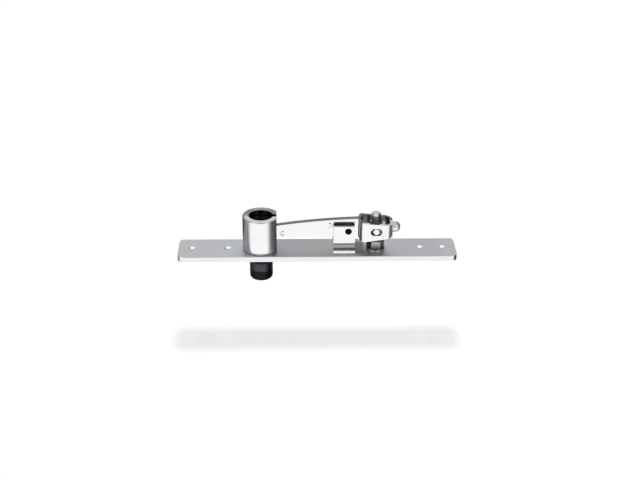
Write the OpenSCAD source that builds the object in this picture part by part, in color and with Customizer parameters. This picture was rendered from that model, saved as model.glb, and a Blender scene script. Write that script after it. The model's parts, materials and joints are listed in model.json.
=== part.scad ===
// Retractable centre-hung pivot: the header half, with a walking beam that draws the pin up.
// Origin on the pin's axis, in the plane of the plate's underside. +X runs along the plate
// towards the adjusting screw and +Z points up, away from the pin's nose. All sizes in mm.

/* [Mounting plate] */
// Length of the plate
plate_l = 228.6; // [220:0.1:260]
// Width of the plate
plate_w = 31.75; // [30:0.05:45]
// Thickness of the plate
plate_t = 4.76; // [4:0.01:8]
// Radius of the plate's corners
plate_corner_r = 4.6; // [1:0.1:10]
// Rounding along the plate's upper edges
plate_edge_r = 0.5; // [0.2:0.1:1]
// Distance from the plate's left end to the pin's axis
pin_inset = 68; // [62:0.5:75]
// Distance from either end of the plate to its nearest screw hole
end_hole_inset = 11.1; // [9:0.1:14]
// Spacing of the two screw holes at the left end
left_hole_pitch = 29.4; // [20:0.1:32]
// Spacing of the two screw holes at the right end
right_hole_pitch = 18.6; // [14:0.1:24]
// Diameter of the screw holes
screw_hole_d = 5.9; // [4:0.1:7]
// Diameter of the screw holes' countersinks, on the underside
sink_d = 11; // [8:0.1:12]

/* [Pin housing] */
// Outside diameter of the housing
housing_d = 30.16; // [28:0.01:31.5]
// Height of the housing above the plate
housing_h = 30; // [28:0.1:40]
// Diameter of the housing's spigot, which is staked in the plate
spigot_d = 23; // [21.5:0.1:24.5]
// Distance from the pin's axis to the flat where the beam enters the housing
housing_flat = 12.8; // [12:0.1:14]
// Bevel round the housing's rim
rim_bevel = 0.6; // [0.3:0.1:1.5]
// Bevel at the mouth of the housing's bore
mouth_bevel = 0.3; // [0.1:0.1:0.6]

/* [Pivot pin] */
// Diameter of the pivot pin
pin_d = 19.05; // [16:0.05:20]
// How far the pin's nose stands out below the plate
pin_reach = 22; // [16:0.1:26]
// How far the pin's top lies below the housing's rim
pin_top_gap = 4.6; // [2:0.1:6]
// Radius round the pin's nose
nose_r = 2.9; // [1:0.1:4]
// Bevel round the pin's top
pin_bevel = 0.6; // [0.2:0.1:1]
// Height of the grease groove round the pin
groove_h = 1; // [0.5:0.1:2]
// Depth of the grease groove
groove_depth = 0.5; // [0.2:0.1:1]
// Diameter of the lift pin, which links the pivot pin and the beam
lift_pin_d = 3.2; // [2.5:0.1:3.5]
// Height of the lift pin's axis above the plate
lift_pin_h = 15.2; // [15:0.1:16]

/* [Walking beam] */
// Thickness of the sheet that the beam is folded from
sheet_t = 2.4; // [2:0.1:2.6]
// Height of the beam's lower edge above the plate
beam_low_h = 11.5; // [11:0.1:12]
// Height of the beam's crest above the plate
beam_crest_h = 27.5; // [26.5:0.1:30]
// Radius of the beam's long upper curve
beam_curve_r = 535; // [500:5:700]
// Metal left between the lift pin's slot and the beam's tip
tip_wall = 1.6; // [1:0.1:2]
// Angle that the beam swings through
beam_swing = 17; // [10:0.5:17]
// Diameter of the shank of the rivets that close the beam
beam_rivet_d = 2.4; // [2:0.1:3]
// Diameter of those rivets' heads
beam_rivet_head_d = 4.2; // [3.4:0.1:5]
// Height of those rivets' heads
beam_rivet_head_h = 0.4; // [0.3:0.1:0.7]
// Distance of the first beam rivet from the pin's axis
rivet_1_x = 17.7; // [17:0.1:30]
// Height of the first beam rivet above the plate
rivet_1_h = 14.2; // [14:0.1:17]
// Distance of the second beam rivet from the pin's axis
rivet_2_x = 56.4; // [40:0.1:56.5]
// Height of the second beam rivet above the plate
rivet_2_h = 21.6; // [15:0.1:22]

/* [Yoke] */
// Width of the yoke over its two walls
yoke_w = 20; // [18.5:0.1:22]
// Steepness of the bends that spread the sheet into the yoke
spread_angle = 80; // [60:1:85]
// Inside radius of those bends
spread_r = 0.8; // [0.5:0.1:1.2]
// Inside radius of the two bends at the yoke's end
yoke_end_r = 3.6; // [2:0.1:4.5]
// Distance from the screw's axis back to the first spreading bend
yoke_back = 14.8; // [14.5:0.1:16]
// Distance from the screw's axis to the yoke's outer end face
yoke_front = 13.8; // [13.5:0.1:17]
// Height of the yoke's upper edge at its left end, above the plate
yoke_top_left_h = 26.4; // [25.5:0.1:27]
// Height of the yoke's upper edge at its right end
yoke_top_right_h = 24; // [23.5:0.1:27]
// Height of the yoke's lower edge at its left end
yoke_low_left_h = 9.6; // [9.2:0.1:12]
// Height of the yoke's lower edge at its right end
yoke_low_right_h = 13.3; // [12.8:0.1:14.5]

/* [Fulcrum] */
// Distance from the pin's axis to the fulcrum
fulcrum_x = 71.4; // [70:0.1:90]
// Height of the fulcrum above the plate
fulcrum_h = 18; // [17:0.1:19]
// Diameter of the fulcrum pin
fulcrum_d = 5.5; // [4:0.1:6]
// Length of the bracket along the plate
bracket_l = 17.6; // [15:0.1:18]
// Distance from the fulcrum to the bracket's right-hand face
bracket_right = 5.4; // [4.5:0.1:5.6]
// Width of the bracket's base across the plate
bracket_base_w = 23.2; // [22:0.1:28]
// Thickness of the bracket's base
bracket_base_t = 5; // [4:0.1:6]
// Draft of the base's front and rear edges
base_draft = 9; // [0:1:12]
// Height of the bevel above those edges
base_bevel_h = 1.8; // [1:0.1:2.5]
// Lean of that bevel from the vertical
base_bevel_lean = 27; // [20:1:45]
// Thickness of the bracket's ears
ear_t = 3.3; // [2:0.1:3.6]
// Height of the ears above the plate
ear_h = 22.5; // [21.5:0.1:23]
// Radius of the ears' upper corners
ear_corner_r = 1.5; // [0.5:0.1:4]
// Radius of the fillet between the ears
channel_fillet_r = 1; // [0.5:0.1:1.5]
// Thickness of the spacer between the beam and each ear
spacer_t = 1.2; // [1:0.1:2]
// Outside diameter of the spacers
spacer_d = 8; // [7:0.1:8]
// Diameter of the shank of the bracket's rivets
bracket_rivet_d = 3.6; // [3:0.1:4]
// Diameter of those rivets' heads
bracket_rivet_head_d = 5.6; // [5:0.1:6]
// Height of those rivets' round heads
bracket_rivet_head_h = 1.6; // [1:0.1:2]

/* [Adjusting screw and trunnion] */
// Distance from the fulcrum to the adjusting screw's axis
screw_arm = 22.7; // [22.4:0.1:26]
// Diameter of the adjusting screw
screw_d = 7.94; // [6:0.01:8]
// Height of the screw's upper end above the plate
screw_top_h = 32.1; // [29:0.1:36]
// Bevel at the screw's upper end
screw_bevel = 0.8; // [0.3:0.1:1.2]
// Diameter of the screw's flange, in the plate's counterbore
flange_d = 11.4; // [10:0.1:13]
// Thickness of the screw's flange
flange_t = 2; // [1.5:0.1:2.5]
// Width across the flats of the flange's hexagon socket
socket_af = 5; // [4:0.1:5]
// Depth of that socket
socket_depth = 4; // [2:0.1:5]
// Width of the retaining nut across its flats
nut_af = 12.7; // [11:0.1:12.8]
// Height of the retaining nut
nut_h = 6.6; // [5:0.1:6.6]
// Diameter of the thrust washer under the nut
washer_d = 15.8; // [14:0.1:17]
// Thickness of the thrust washer
washer_t = 1.4; // [1:0.1:1.4]
// Diameter of the pin that locks the nut to the screw
nut_pin_d = 2; // [1.5:0.1:3]
// Height of the trunnion's axis above the plate
trunnion_h = 18.6; // [18:0.1:19]
// Diameter of the trunnion's two ends, and the height of its block
trunnion_d = 5.5; // [5:0.1:6.2]
// Length of the trunnion's block along the plate
trunnion_l = 11.6; // [10:0.1:12]
// Width of the trunnion's block across the plate
trunnion_w = 11.6; // [10:0.1:14]
// Width of the bevel round the trunnion's ends
trunnion_bevel = 0.4; // [0.2:0.1:0.8]

/* [Lock screw] */
// Diameter of the lock screw's thread
lock_d = 5; // [4:0.1:6]
// Height of the lock screw's axis above the plate
lock_h = 19; // [18:0.1:20]
// Diameter of the lock screw's round head
lock_head_d = 8.8; // [7:0.1:9.5]
// Length of the head's straight part
lock_head_straight = 2.2; // [1:0.1:4]
// Length of the thread that reaches in past the yoke's end wall
lock_reach = 1.4; // [0.5:0.1:1.8]
// Width across the flats of the head's hexagon socket
lock_socket_af = 3; // [2:0.1:4]
// Depth of that socket
lock_socket_depth = 2.6; // [1:0.1:4]

/* [Clearances] */
// Radial gap between the pivot pin and the housing
pin_gap = 0.2; // [0.1:0.05:0.3]
// Gap beside the beam, in the slots of the pin and the housing
beam_gap = 0.35; // [0.2:0.05:0.5]
// Gap round the lift pin and the trunnion's ends, in the beam's slots
link_gap = 0.45; // [0.35:0.05:0.5]
// Length by which the yoke's slots run past the trunnion's travel, at each end
trunnion_slot_run = 0.5; // [0:0.1:1]
// Radial gap where one piece turns on another
turn_gap = 0.1; // [0.05:0.01:0.2]
// Gap round a staked, riveted or threaded seat
seat_gap = 0.05; // [0.02:0.01:0.1]

/* [Hidden] */
$fn = 96;

// A cut reaches this far past the face that it opens
past = 1;

// Plate
plate_left = -pin_inset;
plate_right = plate_l - pin_inset;
hole_xs = [
    plate_left + end_hole_inset,
    plate_left + end_hole_inset + left_hole_pitch,
    plate_right - end_hole_inset - right_hole_pitch,
    plate_right - end_hole_inset
];
sink_depth = (sink_d - screw_hole_d) / 2;

// Beam, with the two plies lying together
blade_w = 2 * sheet_t;
screw_x = fulcrum_x + screw_arm;
beam_low_z = plate_t + beam_low_h;
beam_crest_z = plate_t + beam_crest_h;
fulcrum_z = plate_t + fulcrum_h;
lift_z = plate_t + lift_pin_h;
trunnion_z = plate_t + trunnion_h;
lift_slot_r = lift_pin_d / 2 + link_gap;
lift_travel = fulcrum_x * (1 / cos(beam_swing) - 1);
tip_x = -(lift_travel + lift_slot_r + tip_wall);
tip_r = (beam_top_z(tip_x) - beam_low_z) / 2;
trunnion_travel = screw_arm * (1 / cos(beam_swing) - 1) + trunnion_slot_run;
trunnion_slot_r = trunnion_d / 2 + link_gap;

// Yoke, seen from above: the sheet's middle line bends out, runs straight and folds round
bend_r = spread_r + sheet_t / 2;
fold_r = yoke_end_r + sheet_t / 2;
wall_y = (yoke_w - sheet_t) / 2;
bend_in = bend_r * (1 - cos(spread_angle));
spread_dy = wall_y - sheet_t / 2 - 2 * bend_in;
spread_x = screw_x - yoke_back;
wall_x = spread_x + 2 * bend_r * sin(spread_angle) + spread_dy / tan(spread_angle);
yoke_end_x = screw_x + yoke_front;
fold_x = yoke_end_x - sheet_t - yoke_end_r;
bend_c = [spread_x, -(sheet_t / 2 + bend_r)];
wall_c = [wall_x, bend_r - wall_y];
fold_c = [fold_x, fold_r - wall_y];
// The two plies part here, where the cleft between them is first wide enough to see
nip = sheet_t / 3;
yoke_floor_z = plate_t + min(yoke_low_left_h, yoke_low_right_h) - past;
yoke_roof_z = beam_crest_z + past;

// Pin and housing
bore_r = pin_d / 2 + pin_gap;
housing_top_z = plate_t + housing_h;
pin_top_z = housing_top_z - pin_top_gap;
beam_slot_w = blade_w + 2 * beam_gap;
pin_slot_z = beam_low_z - pin_d / 2 * tan(beam_swing) - past;
housing_slot_z = beam_low_z - 2 * beam_gap;

// Fulcrum
ear_y = blade_w / 2 + spacer_t + 2 * seat_gap;
base_draft_run = (bracket_base_t - base_bevel_h) * tan(base_draft);
base_top_y = bracket_base_w / 2 - base_draft_run - base_bevel_h * tan(base_bevel_lean);
foot_fillet_r = base_top_y - ear_y - ear_t;
bracket_x = fulcrum_x + bracket_right - bracket_l;
bracket_rivet_inset = bracket_rivet_head_d / 2 + channel_fillet_r;

// Screw
washer_z = plate_t;
nut_z = washer_z + washer_t + seat_gap;
flange_z = seat_gap;
counterbore_depth = flange_t + 2 * seat_gap;

// The point at angle a on a circle
function polar(c, r, a) = c + r * [cos(a), sin(a)];

// Height of the beam's upper curve, whose centre lies under the screw's axis
function beam_top_z(x) =
    beam_crest_z - beam_curve_r + sqrt(pow(beam_curve_r, 2) - pow(x - screw_x, 2));

// Section with two rounded upper corners, centred on the first axis
module top_rounded(w, h, r) {
    translate([-w / 2, 0]) square([w, h - r]);
    translate([r - w / 2, 0]) square([w - 2 * r, h]);
    for (side = [-1, 1]) translate([side * (w / 2 - r), h - r]) circle(r = r);
}

// A profile drawn in X and Z, carried across the plate
module across(w) {
    rotate([90, 0, 0]) linear_extrude(w, center = true) children();
}

// A profile drawn in Y and Z, carried along the plate
module along(x, l) {
    translate([x, 0, 0]) rotate([90, 0, 90]) linear_extrude(l) children();
}

// A round bar across the plate, centred on the plate's middle line
module cross_bar(x, z, d, l) {
    translate([x, 0, z]) rotate([90, 0, 0]) cylinder(d = d, h = l, center = true);
}

// A round bar along the plate, from x towards +X
module long_bar(x, z, d, l) {
    translate([x, 0, z]) rotate([0, 90, 0]) cylinder(d = d, h = l);
}

// A slot across the plate with round ends, from x1 to x2
module cross_slot(x1, x2, z, r, l) {
    cross_bar(x1, z, 2 * r, l);
    cross_bar(x2, z, 2 * r, l);
    translate([x1, -l / 2, z - r]) cube([x2 - x1, l, 2 * r]);
}

// A hexagon prism standing on z, with its flats across the plate
module hexagon(x, z, af, h) {
    translate([x, 0, z]) cylinder(d = af / cos(30), h = h, $fn = 6);
}

module mounting_plate() color("Gainsboro") difference() {
    intersection() {
        linear_extrude(plate_t) plate_outline();
        along(plate_left - past, plate_l + 2 * past) top_rounded(plate_w, plate_t, plate_edge_r);
        translate([plate_left + plate_l / 2, 0, 0])
            across(plate_w + 2 * past) top_rounded(plate_l, plate_t, plate_edge_r);
    }
    translate([0, 0, -past]) cylinder(d = spigot_d + 2 * seat_gap, h = plate_t + 2 * past);
    for (x = hole_xs) countersunk_hole(x);
    for (x = bracket_rivet_xs()) riveted_hole(x);
    translate([screw_x, 0, -past]) cylinder(d = screw_d + 2 * turn_gap, h = plate_t + 2 * past);
    translate([screw_x, 0, -past]) cylinder(d = flange_d + 2 * turn_gap, h = counterbore_depth + past);
}

module plate_outline() {
    r = plate_corner_r;
    translate([plate_left, r - plate_w / 2]) square([plate_l, plate_w - 2 * r]);
    translate([plate_left + r, -plate_w / 2]) square([plate_l - 2 * r, plate_w]);
    for (x = [plate_left + r, plate_right - r], side = [-1, 1])
        translate([x, side * (plate_w / 2 - r)]) circle(r = r);
}

// Screw hole whose head is let in flush from below
module countersunk_hole(x) {
    translate([x, 0, -past]) cylinder(d = screw_hole_d, h = plate_t + 2 * past);
    translate([x, 0, -past])
        cylinder(d1 = sink_d + 2 * past, d2 = screw_hole_d, h = sink_depth + past);
}

// Hole for a bracket rivet, whose tail is spread flush in the underside
module riveted_hole(x) {
    translate([x, 0, -past]) cylinder(d = bracket_rivet_d + 2 * seat_gap, h = plate_t + 2 * past);
    translate([x, 0, -past])
        cylinder(
            d1 = bracket_rivet_head_d + 2 * (past + seat_gap),
            d2 = bracket_rivet_d + 2 * seat_gap,
            h = (bracket_rivet_head_d - bracket_rivet_d) / 2 + past
        );
}

module pin_housing() color("Silver") difference() {
    union() {
        cylinder(d = spigot_d, h = plate_t + past);
        translate([0, 0, plate_t]) cylinder(d = housing_d, h = housing_h - rim_bevel);
        translate([0, 0, housing_top_z - rim_bevel])
            cylinder(d1 = housing_d, d2 = housing_d - 2 * rim_bevel, h = rim_bevel);
    }
    translate([0, 0, -past]) cylinder(r = bore_r, h = housing_top_z + 2 * past);
    translate([0, 0, housing_top_z - mouth_bevel])
        cylinder(r1 = bore_r, r2 = bore_r + mouth_bevel + past, h = mouth_bevel + past);
    // The beam enters through a flat, by a slot that is open at the rim
    translate([housing_flat, -housing_d / 2, plate_t])
        cube([housing_d, housing_d, housing_h + past]);
    translate([0, -beam_slot_w / 2, housing_slot_z])
        cube([housing_d, beam_slot_w, housing_top_z - housing_slot_z + past]);
}

module pivot_pin() color("DimGray") difference() {
    rotate_extrude() pin_section();
    translate([-pin_d, -beam_slot_w / 2, pin_slot_z])
        cube([2 * pin_d, beam_slot_w, pin_top_z - pin_slot_z + past]);
    cross_bar(0, lift_z, lift_pin_d + 2 * seat_gap, pin_d + 2 * past);
}

// Half section of the pivot pin, from its axis outwards
module pin_section() {
    r = pin_d / 2;
    translate([0, -pin_reach]) square([r - nose_r, nose_r + past]);
    intersection() {
        translate([r - nose_r, nose_r - pin_reach]) circle(r = nose_r);
        translate([0, -pin_reach]) square([r, nose_r]);
    }
    translate([0, nose_r - pin_reach]) square([r, pin_reach - nose_r]);
    square([r - groove_depth, groove_h]);
    polygon([
        [0, groove_h],
        [r, groove_h],
        [r, pin_top_z - pin_bevel],
        [r - pin_bevel, pin_top_z],
        [0, pin_top_z]
    ]);
}

module lift_pin() color("Gray") cross_bar(0, lift_z, lift_pin_d, pin_d - 2 * pin_bevel);

module walking_beam() color("WhiteSmoke") difference() {
    intersection() {
        folded_sheet();
        across(yoke_w + 2 * past) beam_side();
    }
    cross_slot(-lift_travel, 0, lift_z, lift_slot_r, blade_w + 2 * past);
    cross_bar(fulcrum_x, fulcrum_z, fulcrum_d + 2 * turn_gap, blade_w + 2 * past);
    cross_slot(
        screw_x - trunnion_travel, screw_x + trunnion_travel,
        trunnion_z, trunnion_slot_r, yoke_w + 2 * past
    );
    for (p = [[rivet_1_x, rivet_1_h], [rivet_2_x, rivet_2_h]])
        cross_bar(p[0], plate_t + p[1], beam_rivet_d + 2 * seat_gap, blade_w + 2 * past);
    long_bar(fold_x, plate_t + lock_h, lock_d + 2 * seat_gap, yoke_end_x - fold_x + past);
}

// The folded sheet seen from above, as a solid of the beam's height
module folded_sheet() {
    translate([0, 0, yoke_floor_z]) linear_extrude(yoke_roof_z - yoke_floor_z) difference() {
        union() {
            translate([tip_x, -sheet_t]) square([spread_x + nip - tip_x, blade_w]);
            outer_half();
            mirror([0, 1]) outer_half();
        }
        inner_half();
        mirror([0, 1]) inner_half();
    }
}

// One half of what the yoke's outer faces enclose
module outer_half() {
    r_in = spread_r;
    r_out = spread_r + sheet_t;
    difference() {
        polygon([
            [spread_x, 0],
            [spread_x, -sheet_t],
            polar(bend_c, r_in, 90 - spread_angle),
            polar(wall_c, r_out, -90 - spread_angle),
            wall_c,
            [wall_x, 0]
        ]);
        translate(bend_c) circle(r = r_in);
    }
    translate(wall_c) circle(r = r_out);
    translate([wall_x, -yoke_w / 2]) square([fold_x - wall_x, yoke_w / 2]);
    translate(fold_c) circle(r = yoke_end_r + sheet_t);
    translate([fold_x, fold_c[1]]) square([yoke_end_x - fold_x, -fold_c[1]]);
}

// One half of what the yoke's inner faces enclose
module inner_half() {
    r_in = spread_r;
    r_out = spread_r + sheet_t;
    difference() {
        polygon([
            [spread_x + nip, 0],
            [spread_x + nip, -nip],
            polar(bend_c, r_out, 90 - spread_angle),
            polar(wall_c, r_in, -90 - spread_angle),
            wall_c,
            [wall_x, 0]
        ]);
        translate(bend_c) circle(r = r_out);
    }
    translate(wall_c) circle(r = r_in);
    translate([wall_x, sheet_t - yoke_w / 2]) square([fold_x - wall_x, yoke_w / 2 - sheet_t]);
    translate(fold_c) circle(r = yoke_end_r);
    translate([fold_x, fold_c[1]]) square([yoke_end_x - sheet_t - fold_x, -fold_c[1]]);
}

// The beam's outline from the front
module beam_side() {
    translate([tip_x + tip_r, beam_low_z + tip_r]) circle(r = tip_r);
    intersection() {
        translate([tip_x + tip_r, beam_low_z])
            square([spread_x - tip_x - tip_r, beam_crest_z - beam_low_z]);
        translate([screw_x, beam_crest_z - beam_curve_r]) circle(r = beam_curve_r, $fn = 720);
    }
    polygon([
        [spread_x, beam_low_z],
        [wall_x, plate_t + yoke_low_left_h],
        [yoke_end_x + past, plate_t + yoke_low_right_h],
        [yoke_end_x + past, plate_t + yoke_top_right_h],
        [wall_x, plate_t + yoke_top_left_h],
        [spread_x, beam_top_z(spread_x)]
    ]);
}

// Round-headed rivet through both plies of the beam
module beam_rivet(x, h) color("Silver") {
    cross_bar(x, plate_t + h, beam_rivet_d, blade_w);
    for (side = [-1, 1])
        translate([x, side * blade_w / 2, plate_t + h]) rotate([-side * 90, 0, 0])
            dome(beam_rivet_head_d / 2, beam_rivet_head_h);
}

// Cap of a sphere with the given rim radius and height, standing on z = 0
module dome(r, h) {
    ball_r = (r * r + h * h) / (2 * h);
    intersection() {
        translate([0, 0, h - ball_r]) sphere(r = ball_r);
        cylinder(r = r, h = h);
    }
}

module beam_rivet_left() beam_rivet(rivet_1_x, rivet_1_h);
module beam_rivet_right() beam_rivet(rivet_2_x, rivet_2_h);

module fulcrum_bracket() color("WhiteSmoke") difference() {
    intersection() {
        along(bracket_x, bracket_l) bracket_section();
        translate([bracket_x + bracket_l / 2, 0, plate_t])
            across(bracket_base_w + past) top_rounded(bracket_l, ear_h, ear_corner_r);
    }
    cross_bar(fulcrum_x, fulcrum_z, fulcrum_d + 2 * seat_gap, bracket_base_w);
    for (x = bracket_rivet_xs())
        translate([x, 0, 0]) cylinder(d = bracket_rivet_d + 2 * seat_gap, h = fulcrum_z);
}

// Section of the bracket: a base and two ears, with fillets at the ears' feet
module bracket_section() {
    base_top = plate_t + bracket_base_t;
    foot = [
        [bracket_base_w / 2, plate_t],
        [bracket_base_w / 2 - base_draft_run, base_top - base_bevel_h],
        [base_top_y, base_top]
    ];
    polygon(concat(foot, [for (i = [2:-1:0]) [-foot[i].x, foot[i].y]]));
    for (side = [-1, 1]) {
        translate([side * (ear_y + ear_t / 2) - ear_t / 2, plate_t]) square([ear_t, ear_h]);
        fillet(side * (ear_y + ear_t), base_top, foot_fillet_r, side);
        fillet(side * ear_y, base_top, channel_fillet_r, -side);
    }
}

// Concave fillet in the corner at (y, z), on the side that side names
module fillet(y, z, r, side) {
    difference() {
        translate([y + min(0, side * r), z - past]) square([r, r + past]);
        translate([y + side * r, z + r]) circle(r = r);
    }
}

function bracket_rivet_xs() =
    [bracket_x + bracket_rivet_inset, bracket_x + bracket_l - bracket_rivet_inset];

// Rivet from the bracket's base down through the plate, spread flush in the underside
module bracket_rivet(x) color("Silver") translate([x, 0, 0]) {
    cylinder(d = bracket_rivet_d, h = plate_t + bracket_base_t);
    cylinder(
        d1 = bracket_rivet_head_d,
        d2 = bracket_rivet_d,
        h = (bracket_rivet_head_d - bracket_rivet_d) / 2
    );
    translate([0, 0, plate_t + bracket_base_t])
        dome(bracket_rivet_head_d / 2, bracket_rivet_head_h);
}

module bracket_rivet_left() bracket_rivet(bracket_rivet_xs()[0]);
module bracket_rivet_right() bracket_rivet(bracket_rivet_xs()[1]);

module fulcrum_pin() color("Black")
    cross_bar(fulcrum_x, fulcrum_z, fulcrum_d, 2 * (ear_y + ear_t));

// Spacer ring on the fulcrum pin, on one side of the beam
module spacer(side) color("Silver") difference() {
    translate([fulcrum_x, side * (blade_w / 2 + seat_gap), fulcrum_z])
        rotate([-side * 90, 0, 0]) cylinder(d = spacer_d, h = spacer_t);
    cross_bar(fulcrum_x, fulcrum_z, fulcrum_d + 2 * turn_gap, 2 * ear_y);
}

module spacer_front() spacer(-1);
module spacer_rear() spacer(1);

module trunnion() color("Silver") difference() {
    union() {
        translate([screw_x - trunnion_l / 2, -trunnion_w / 2, trunnion_z - trunnion_d / 2])
            cube([trunnion_l, trunnion_w, trunnion_d]);
        translate([screw_x, 0, trunnion_z]) for (side = [-1, 1])
            rotate([side * 90, 0, 0]) trunnion_end();
    }
    translate([screw_x, 0, 0]) cylinder(d = screw_d + 2 * turn_gap, h = 2 * trunnion_z);
}

// One end of the trunnion, with a bevelled face flush with the yoke's wall
module trunnion_end() {
    l = yoke_w / 2;
    cylinder(d = trunnion_d, h = l - trunnion_bevel);
    translate([0, 0, l - trunnion_bevel])
        cylinder(d1 = trunnion_d, d2 = trunnion_d - 2 * trunnion_bevel, h = trunnion_bevel);
}

module adjusting_screw() color("LightGray") difference() {
    translate([screw_x, 0, 0]) {
        translate([0, 0, flange_z]) cylinder(d = flange_d, h = flange_t);
        translate([0, 0, flange_z])
            cylinder(d = screw_d, h = plate_t + screw_top_h - screw_bevel - flange_z);
        translate([0, 0, plate_t + screw_top_h - screw_bevel])
            cylinder(d1 = screw_d, d2 = screw_d - 2 * screw_bevel, h = screw_bevel);
    }
    hexagon(screw_x, -past, socket_af, socket_depth + past);
    cross_bar(screw_x, nut_z + nut_h / 2, nut_pin_d + 2 * seat_gap, screw_d + 2 * past);
}

module thrust_washer() color("Silver") difference() {
    translate([screw_x, 0, washer_z]) cylinder(d = washer_d, h = washer_t);
    translate([screw_x, 0, washer_z - past])
        cylinder(d = screw_d + 2 * turn_gap, h = washer_t + 2 * past);
}

module retaining_nut() color("LightGray") difference() {
    intersection() {
        hexagon(screw_x, nut_z, nut_af, nut_h);
        translate([screw_x, 0, nut_z]) nut_bevel();
    }
    translate([screw_x, 0, nut_z - past])
        cylinder(d = screw_d + 2 * seat_gap, h = nut_h + 2 * past);
    cross_bar(screw_x, nut_z + nut_h / 2, nut_pin_d + 2 * seat_gap, nut_af + 2 * past);
}

// Turned blank of the nut, which bevels its corners at both ends
module nut_bevel() {
    corner_r = nut_af / 2 / cos(30);
    bevel = corner_r - nut_af / 2;
    slope = bevel * tan(30);
    rotate_extrude() polygon([
        [0, 0],
        [corner_r - bevel, 0],
        [corner_r, slope],
        [corner_r, nut_h - slope],
        [corner_r - bevel, nut_h],
        [0, nut_h]
    ]);
}

module nut_pin() color("Gray") cross_bar(screw_x, nut_z + nut_h / 2, nut_pin_d, nut_af);

module lock_screw() color("WhiteSmoke") difference() {
    union() {
        long_bar(yoke_end_x - sheet_t - lock_reach, plate_t + lock_h, lock_d, sheet_t + lock_reach);
        long_bar(yoke_end_x, plate_t + lock_h, lock_head_d, lock_head_straight);
        intersection() {
            translate([yoke_end_x + lock_head_straight, 0, plate_t + lock_h])
                sphere(d = lock_head_d);
            long_bar(yoke_end_x + lock_head_straight, plate_t + lock_h, lock_head_d, lock_head_d);
        }
    }
    translate([yoke_end_x + lock_head_straight + lock_head_d / 2 - lock_socket_depth, 0, plate_t + lock_h])
        rotate([0, 90, 0])
            cylinder(d = lock_socket_af / cos(30), h = lock_socket_depth + past, $fn = 6);
}

mounting_plate();
pin_housing();
pivot_pin();
lift_pin();
walking_beam();
beam_rivet_left();
beam_rivet_right();
fulcrum_bracket();
bracket_rivet_left();
bracket_rivet_right();
fulcrum_pin();
spacer_front();
spacer_rear();
trunnion();
adjusting_screw();
thrust_washer();
retaining_nut();
nut_pin();
lock_screw();
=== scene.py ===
"""Looks of the retractable centre-hung pivot, laid out as an add-on and run as a script.

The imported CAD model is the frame. This file gives every piece its plated, turned or blackened
finish, swaps the plain screws for threaded ones, and builds the studio round the hinge.
"""
import json
import math

import bpy
import numpy as np
from bpy.props import FloatProperty, FloatVectorProperty, PointerProperty
from mathutils import Matrix, Vector


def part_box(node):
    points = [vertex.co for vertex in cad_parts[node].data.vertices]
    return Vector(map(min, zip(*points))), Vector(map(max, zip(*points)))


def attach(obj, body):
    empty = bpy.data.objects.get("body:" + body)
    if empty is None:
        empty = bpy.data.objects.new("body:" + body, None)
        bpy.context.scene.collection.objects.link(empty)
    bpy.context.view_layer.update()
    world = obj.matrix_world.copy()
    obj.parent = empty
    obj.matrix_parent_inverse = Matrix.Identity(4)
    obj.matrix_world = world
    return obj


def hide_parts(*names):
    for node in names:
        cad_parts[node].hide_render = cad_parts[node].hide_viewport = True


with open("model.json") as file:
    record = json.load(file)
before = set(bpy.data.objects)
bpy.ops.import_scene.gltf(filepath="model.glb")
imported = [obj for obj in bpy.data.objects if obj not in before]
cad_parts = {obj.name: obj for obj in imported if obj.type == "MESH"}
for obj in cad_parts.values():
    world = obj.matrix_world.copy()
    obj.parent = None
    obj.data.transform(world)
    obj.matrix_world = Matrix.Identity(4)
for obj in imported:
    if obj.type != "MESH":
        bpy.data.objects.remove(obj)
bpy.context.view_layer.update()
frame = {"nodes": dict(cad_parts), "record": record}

bl_info = {
    "name": "Pivot hinge",
    "version": (1, 0, 0),
    "blender": (4, 5, 0),
    "location": "3D View > Sidebar > Pivot",
    "description": "Finishes, threads and studio of a retractable centre-hung pivot",
    "category": "Object",
}

MM = 0.001
MICROMETRE = 1e-6
PLATE_LOW, PLATE_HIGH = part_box("mounting_plate")
TUBE_LOW, TUBE_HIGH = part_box("pin_housing")
BEAM_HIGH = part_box("walking_beam")[1]
BRACKET_LOW, BRACKET_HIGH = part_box("fulcrum_bracket")
TRUNNION_LOW, TRUNNION_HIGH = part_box("trunnion")
SCREW_LOW, SCREW_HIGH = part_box("adjusting_screw")
LOCK_LOW, LOCK_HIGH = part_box("lock_screw")
# The plate's middle, and the axes of the upright adjusting screw and the level lock screw
PLATE_X = (PLATE_LOW.x + PLATE_HIGH.x) / 2
SCREW_X = (SCREW_LOW.x + SCREW_HIGH.x) / 2
LOCK_Z = (LOCK_LOW.z + LOCK_HIGH.z) / 2
# Thickness of the beam's sheet
SHEET = 2.4 * MM
WHITE = (1.0, 1.0, 1.0, 1.0)


# ---------------------------------------------------------------- shader maths

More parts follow.
